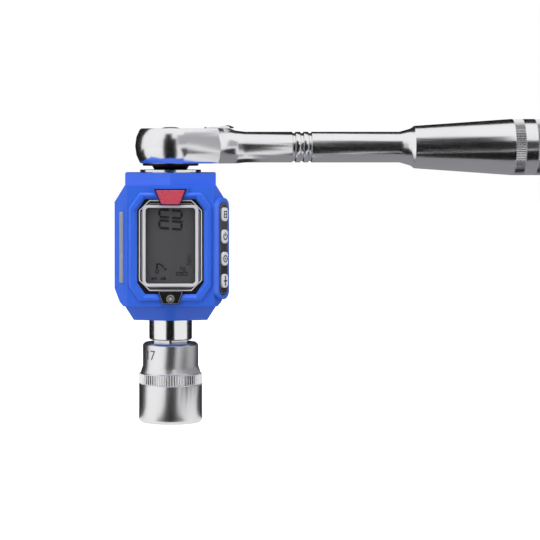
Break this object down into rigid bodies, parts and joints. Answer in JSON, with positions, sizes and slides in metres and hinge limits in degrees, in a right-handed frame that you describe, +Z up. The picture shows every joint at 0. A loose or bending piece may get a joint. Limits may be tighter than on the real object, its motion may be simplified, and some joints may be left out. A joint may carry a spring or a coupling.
{
  "type": "digital torque adapter with ratchet and socket",
  "caption": "Digital torque measuring adapter with a turning display housing, fitted between a reversible square-drive ratchet and a hexagon socket.",
  "frame": {"origin": "centre of the socket's open mouth, on the drive axis", "axes": "+Z up the drive axis to the ratchet, +X along the handle, the display looks along -Y"},
  "size_m": [0.2075, 0.0456, 0.1151],
  "materials": {
    "chrome": "polished",
    "satin_steel": "satin",
    "dark_steel": "blackened",
    "spring_steel": "bright",
    "blue_shell": "satin",
    "black_gloss": "gloss",
    "black_matte": "matte",
    "silver_frame": "metallised",
    "window": "clear",
    "lcd_grey": "matte",
    "board_green": "matte",
    "key_silver": "satin",
    "red_badge": "gloss",
    "clear_lens": "clear",
    "grey_insert": "ribbed",
    "bronze": "plain",
    "foil": "plain",
    "cell_wrap": "gloss"
  },
  "bodies": {
    "socket": {"socket": "satin_steel"},
    "torque_shaft": {"torque_shaft": "chrome", "strain_gauges": "foil", "turn_stop_pin": "spring_steel", "shaft_retaining_ring": "spring_steel"},
    "shaft_ball": {"shaft_detent_ball": "spring_steel"},
    "housing": {"front_shell": "blue_shell", "rear_shell": "blue_shell", "housing_screws": "spring_steel", "lower_bush": "bronze", "upper_bush": "bronze", "display_bezel": "black_gloss", "display_frame": "silver_frame", "display_window": "window", "lcd_module": "lcd_grey", "main_board": "board_green", "buzzer": "black_matte", "badge_plate": "red_badge", "lamp_holder": "black_gloss", "lamp_lens": "clear_lens", "keypad_strip": "black_gloss", "key_board": "board_green", "key_switches": "black_matte", "side_insert": "grey_insert", "batteries": "cell_wrap", "battery_contacts": "spring_steel"},
    "battery_door": {"battery_door": "blue_shell"},
    "key_1": {"key_1": "key_silver"},
    "key_2": {"key_2": "key_silver"},
    "key_3": {"key_3": "key_silver"},
    "key_4": {"key_4": "key_silver"},
    "drive_gear": {"drive_gear": "dark_steel", "release_spring": "spring_steel"},
    "anvil_ball": {"anvil_detent_ball": "spring_steel"},
    "release_button": {"quick_release_button": "chrome"},
    "handle": {"handle": "chrome", "gear_cover_ring": "dark_steel"},
    "reversing_lever": {"reversing_lever": "chrome", "lever_plunger": "spring_steel"},
    "pawl": {"pawl": "dark_steel"}
  },
  "joints": [
    {"name": "socket_pull_off", "type": "slide", "parent": "socket", "child": "torque_shaft", "axis": [0, 0, 1], "range_m": [0, 0.012]},
    {"name": "shaft_ball_out", "type": "slide", "parent": "torque_shaft", "child": "shaft_ball", "axis": [0.7071, -0.7071, 0], "range_m": [0, 0.0004]},
    {"name": "housing_turn", "type": "hinge", "parent": "torque_shaft", "child": "housing", "pos_m": [0, 0, 0.067], "axis": [0, 0, 1], "range_deg": [-120, 120]},
    {"name": "battery_door_off", "type": "slide", "parent": "housing", "child": "battery_door", "axis": [0, 1, 0], "range_m": [0, 0.02]},
    {"name": "key_1_press", "type": "slide", "parent": "housing", "child": "key_1", "axis": [-0.7986, 0.6018, 0], "range_m": [0, 0.0005], "stiffness_N_per_m": 1500},
    {"name": "key_2_press", "type": "slide", "parent": "housing", "child": "key_2", "axis": [-0.7986, 0.6018, 0], "range_m": [0, 0.0005], "stiffness_N_per_m": 1500},
    {"name": "key_3_press", "type": "slide", "parent": "housing", "child": "key_3", "axis": [-0.7986, 0.6018, 0], "range_m": [0, 0.0005], "stiffness_N_per_m": 1500},
    {"name": "key_4_press", "type": "slide", "parent": "housing", "child": "key_4", "axis": [-0.7986, 0.6018, 0], "range_m": [0, 0.0005], "stiffness_N_per_m": 1500},
    {"name": "ratchet_lift_off", "type": "slide", "parent": "torque_shaft", "child": "drive_gear", "axis": [0, 0, 1], "range_m": [0, 0.012]},
    {"name": "anvil_ball_out", "type": "slide", "parent": "drive_gear", "child": "anvil_ball", "axis": [0.7071, -0.7071, 0], "range_m": [0, 0.0004]},
    {"name": "release_press", "type": "slide", "parent": "drive_gear", "child": "release_button", "axis": [0, 0, -1], "range_m": [0, 0.0015], "stiffness_N_per_m": 1500, "deforming": ["release_spring"]},
    {"name": "ratchet_turn", "type": "hinge", "parent": "drive_gear", "child": "handle", "pos_m": [0, 0, 0.1044], "axis": [0, 0, 1], "continuous": true},
    {"name": "lever_turn", "type": "hinge", "parent": "handle", "child": "reversing_lever", "pos_m": [0.0158, 0, 0.1044], "axis": [0, 0, 1], "range_deg": [0, 36]},
    {"name": "pawl_rock", "type": "hinge", "parent": "handle", "child": "pawl", "pos_m": [0.0158, 0, 0.1044], "axis": [0, 0, 1], "range_deg": [0, 5.8]}
  ],
  "couplings": [
    {"joint": "pawl_rock", "follows": "lever_turn", "ratio": 0.16111}
  ]
}
